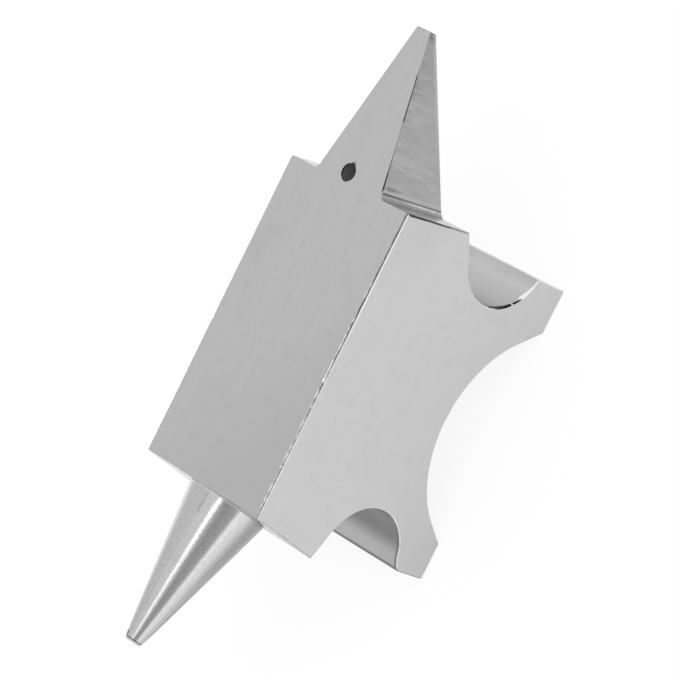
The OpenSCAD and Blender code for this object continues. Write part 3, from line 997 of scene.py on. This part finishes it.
def make_round_horn(turned):
    bm = piece_from_cad("round_horn")
    draw_in_tip_step(bm)
    finish_piece("finished_round_horn", bm, "round_horn", [turned])


def draw_in_tip_step(bm):
    """Draws in the small step where the cone meets its rounded tip, so that the skin runs on smoothly."""
    root = Vector(CONE_ROOT)
    axis = Matrix.Rotation(ROUND_END_BATTER - radians(90), 3, "Y") @ Vector((0, 0, 1))
    step = list(dict.fromkeys(v for e in sharp_edges(bm) for v in e.verts if v.co.x < CONE_TIP_X))
    for corner in step:
        foot = root + axis * (corner.co - root).dot(axis)
        corner.co = foot + (corner.co - foot).normalized() * TIP_RADIUS
    bmesh.ops.remove_doubles(bm, verts=step, dist=STEP_WELD)


def dress_hidden_pins(drawn):
    """Gives the pins and dowels their steel: they stay as the CAD model's own pieces."""
    for node in (*CROSS_PINS, "flat_horn_dowels"):
        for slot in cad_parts[node].material_slots:
            slot.material = drawn


# Room


def make_world():
    """A pale room with one narrow softbox, and a darker side where the camera stands."""
    world = bpy.data.worlds.new("room")
    bpy.context.scene.world = world
    world.use_nodes = True
    s = Shader(world.node_tree)
    background = world.node_tree.nodes["Background"]
    x, y, z = s.parts(s.add("ShaderNodeTexCoord", output="Generated"))
    turn = s.maths("ARCTAN2", s.times(y, -1.0), z)
    ramp = world.node_tree.nodes.new("ShaderNodeValToRGB")
    s.feed(ramp, "Fac", s.plus(s.maths("DIVIDE", turn, radians(180)), 0.5))
    stops = ramp.color_ramp.elements
    stops.remove(stops[1])
    for index, (tilt, brightness) in enumerate(ROOM_BANDS):
        position = (tilt + 90) / 180
        stop = stops[0] if index == 0 else stops.new(position)
        stop.position = position
        level = brightness / ROOM_SCALE
        stop.color = (level, level, level, 1)
    room = s.times(ramp.outputs["Color"], ROOM_SCALE)
    # Behind the anvil, the room is dimmer at the round end and a little brighter at the flat end.
    sides = s.plus(s.range(x, -0.8, -0.45, 0.6, 1.0), s.range(x, 0.15, 0.5, 0.0, 0.15))
    behind = s.range(y, 0.2, 0.5)
    lit = s.times(room, s.plus(s.times(behind, s.minus(sides, 1.0)), 1.0))
    seen = s.add("ShaderNodeLightPath", output="Is Camera Ray")
    s.feed(background, "Strength", s.plus(s.times(lit, s.rest_of(seen)), seen))
    background.inputs["Color"].default_value = (1, 1, 1, 1)


def make_floor():
    """A pale floor that the camera and the steel both see as white, with the shadow kept."""
    bm = bmesh.new()
    bmesh.ops.create_grid(bm, x_segments=4, y_segments=4, size=FLOOR_REACH)
    mesh = bpy.data.meshes.new("floor")
    bm.to_mesh(mesh)
    bm.free()
    floor = bpy.data.objects.new("floor", mesh)
    bpy.context.scene.collection.objects.link(floor)
    material = bpy.data.materials.new("pale floor")
    material.use_nodes = True
    tree = material.node_tree
    tree.nodes.remove(tree.nodes["Principled BSDF"])
    s = Shader(tree)
    matt = s.add("ShaderNodeBsdfDiffuse", Color=(0.93, 0.93, 0.93, 1))
    white = s.add("ShaderNodeEmission", Color=(1, 1, 1, 1), Strength=1.0)
    paths = tree.nodes.new("ShaderNodeLightPath").outputs
    mirrored = s.largest(paths["Is Glossy Ray"], paths["Is Transmission Ray"])
    share = s.plus(s.times(paths["Is Camera Ray"], 0.9), s.times(mirrored, 0.4))
    both = s.add("ShaderNodeMixShader", n0=share, n1=matt, n2=white)
    s.feed(tree.nodes["Material Output"], "Surface", both)
    mesh.materials.append(material)


def make_lights():
    """One broad softbox overhead. The steel mirrors the room, not the lamp."""
    data = bpy.data.lights.new("broad softbox", "SUN")
    data.energy = 1.1
    data.angle = radians(50)
    lamp = bpy.data.objects.new("broad softbox", data)
    lamp.rotation_euler = LAMP_FROM.to_track_quat("Z", "X").to_euler()
    lamp.location = (0, 0, 2)
    lamp.visible_glossy = False
    bpy.context.scene.collection.objects.link(lamp)


def make_camera():
    data = bpy.data.cameras.new("camera")
    data.sensor_width = SENSOR
    data.lens = FOCAL_PIXELS / IMAGE_PIXELS * SENSOR
    data.clip_start = 0.01
    camera = bpy.data.objects.new("camera", data)
    axes = Matrix((CAMERA_RIGHT, CAMERA_UP, CAMERA_BACK)).transposed()
    camera.matrix_world = Matrix.Translation(CAMERA_PLACE) @ axes.to_4x4()
    bpy.context.scene.collection.objects.link(camera)
    bpy.context.scene.camera = camera


make_camera()
make_world()
make_floor()
make_lights()

GROUND = ground_steel()
EDGE = broken_edge()
BORE = bored_wall()
make_body(GROUND, cross_ground_steel(), BORE, EDGE)
make_flat_horn(GROUND, milled_steel(), BORE, EDGE)
make_round_horn(turned_steel())
dress_hidden_pins(drawn_steel())

bpy.context.scene.view_settings.view_transform = "Standard"
